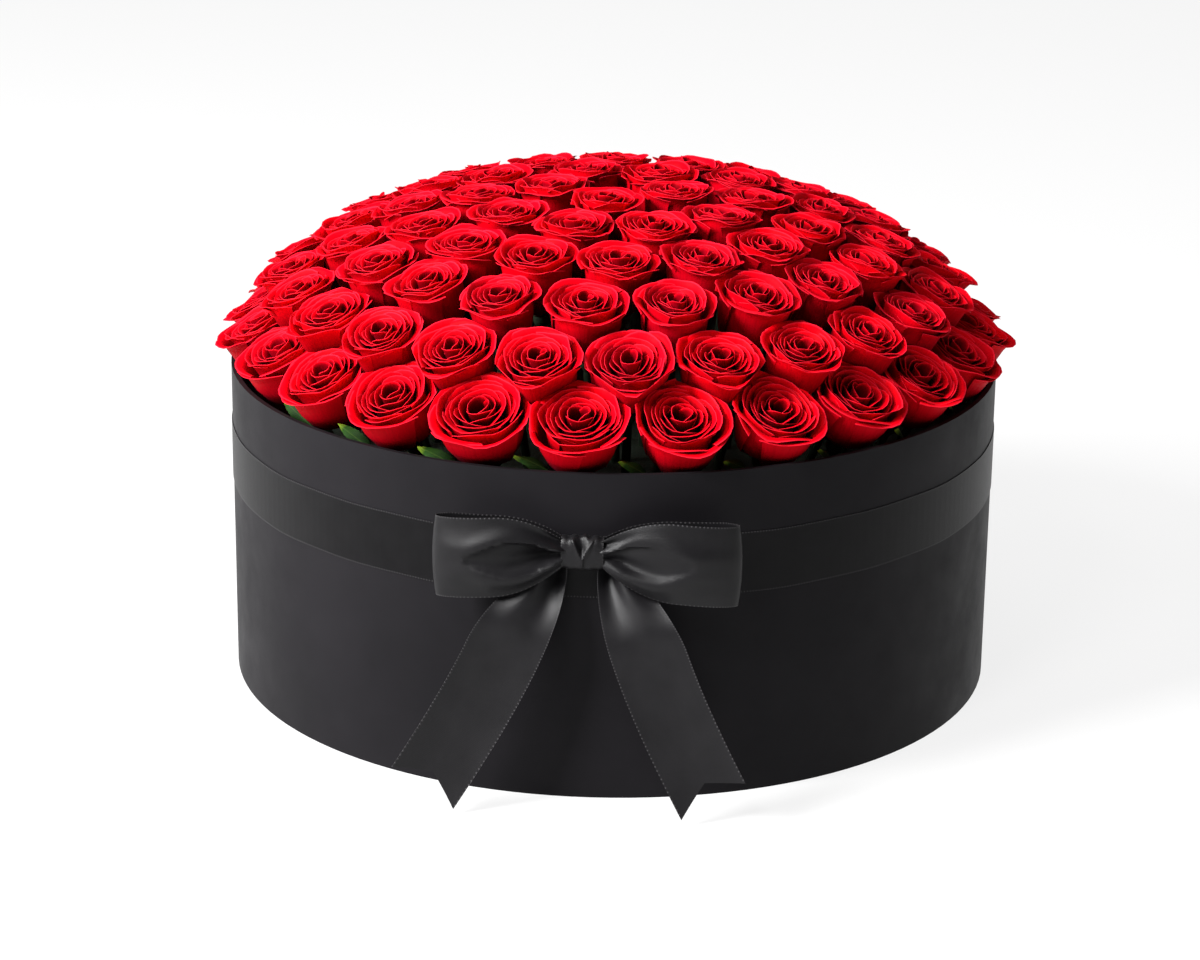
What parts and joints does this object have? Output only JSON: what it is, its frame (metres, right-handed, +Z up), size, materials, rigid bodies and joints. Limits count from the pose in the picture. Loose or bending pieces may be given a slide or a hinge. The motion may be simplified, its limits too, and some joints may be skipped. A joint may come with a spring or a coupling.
{
  "type": "round flower box with a dome of roses",
  "caption": "Round board box covered in black paper, with a satin ribbon band and bow, and a lift-out foam insert holding a dome of open red roses.",
  "frame": {"origin": "centre of the box's underside, on the surface that it stands on", "axes": "+Z up through the dome's crown; the bow faces -Y; +X is to the right of the bow as it is looked at"},
  "size_m": [0.501, 0.5382, 0.3286],
  "materials": {
    "board": "matt grey board",
    "cover_paper": "matt black paper with a soft sheen",
    "lining_paper": "matt black paper",
    "satin_ribbon": "black satin",
    "tape": "double-sided tape",
    "glue": "set glue",
    "tie_wire": "green florist's wire",
    "tray_plastic": "black moulded plastic",
    "foam": "floral foam, open-celled and matt",
    "stem": "green rose stem",
    "hip": "green rose hip",
    "petal": "velvety red petal",
    "leaf": "waxy green leaf"
  },
  "bodies": {
    "box": {"base_board": "board", "base_cover_paper": "cover_paper", "base_lining_paper": "lining_paper", "wall_board": "board", "wall_cover_paper": "cover_paper", "wall_lining_paper": "lining_paper", "ribbon_band": "satin_ribbon", "ribbon_lap_end": "satin_ribbon", "band_tape": "tape", "bow_glue": "glue", "bow_waist": "satin_ribbon", "bow_tie_wire": "tie_wire", "bow_knot": "satin_ribbon", "bow_loop_left": "satin_ribbon", "bow_loop_right": "satin_ribbon", "bow_tail_left": "satin_ribbon", "bow_tail_right": "satin_ribbon"},
    "insert": {"liner_tray": "tray_plastic", "foam_lower_row_1": "foam", "foam_lower_row_2": "foam", "foam_lower_row_3": "foam", "foam_lower_row_4": "foam", "foam_lower_row_5": "foam", "foam_upper_row_1": "foam", "foam_upper_row_2": "foam", "foam_upper_row_3": "foam", "foam_upper_row_4": "foam", "foam_upper_row_5": "foam", "stems_ring_1": "stem", "stems_ring_2": "stem", "stems_ring_3": "stem", "stems_ring_4": "stem", "stems_ring_5": "stem", "stems_ring_6": "stem", "hips_ring_1": "hip", "hips_ring_2": "hip", "hips_ring_3": "hip", "hips_ring_4": "hip", "hips_ring_5": "hip", "hips_ring_6": "hip", "heads_ring_1": "petal", "heads_ring_2": "petal", "heads_ring_3": "petal", "heads_ring_4": "petal", "heads_ring_5": "petal", "heads_ring_6": "petal", "rim_leaves": "leaf"}
  },
  "joints": [
    {"name": "insert_lift", "type": "slide", "parent": "box", "child": "insert", "axis": [0, 0, 1], "range_m": [0, 0.206]}
  ]
}
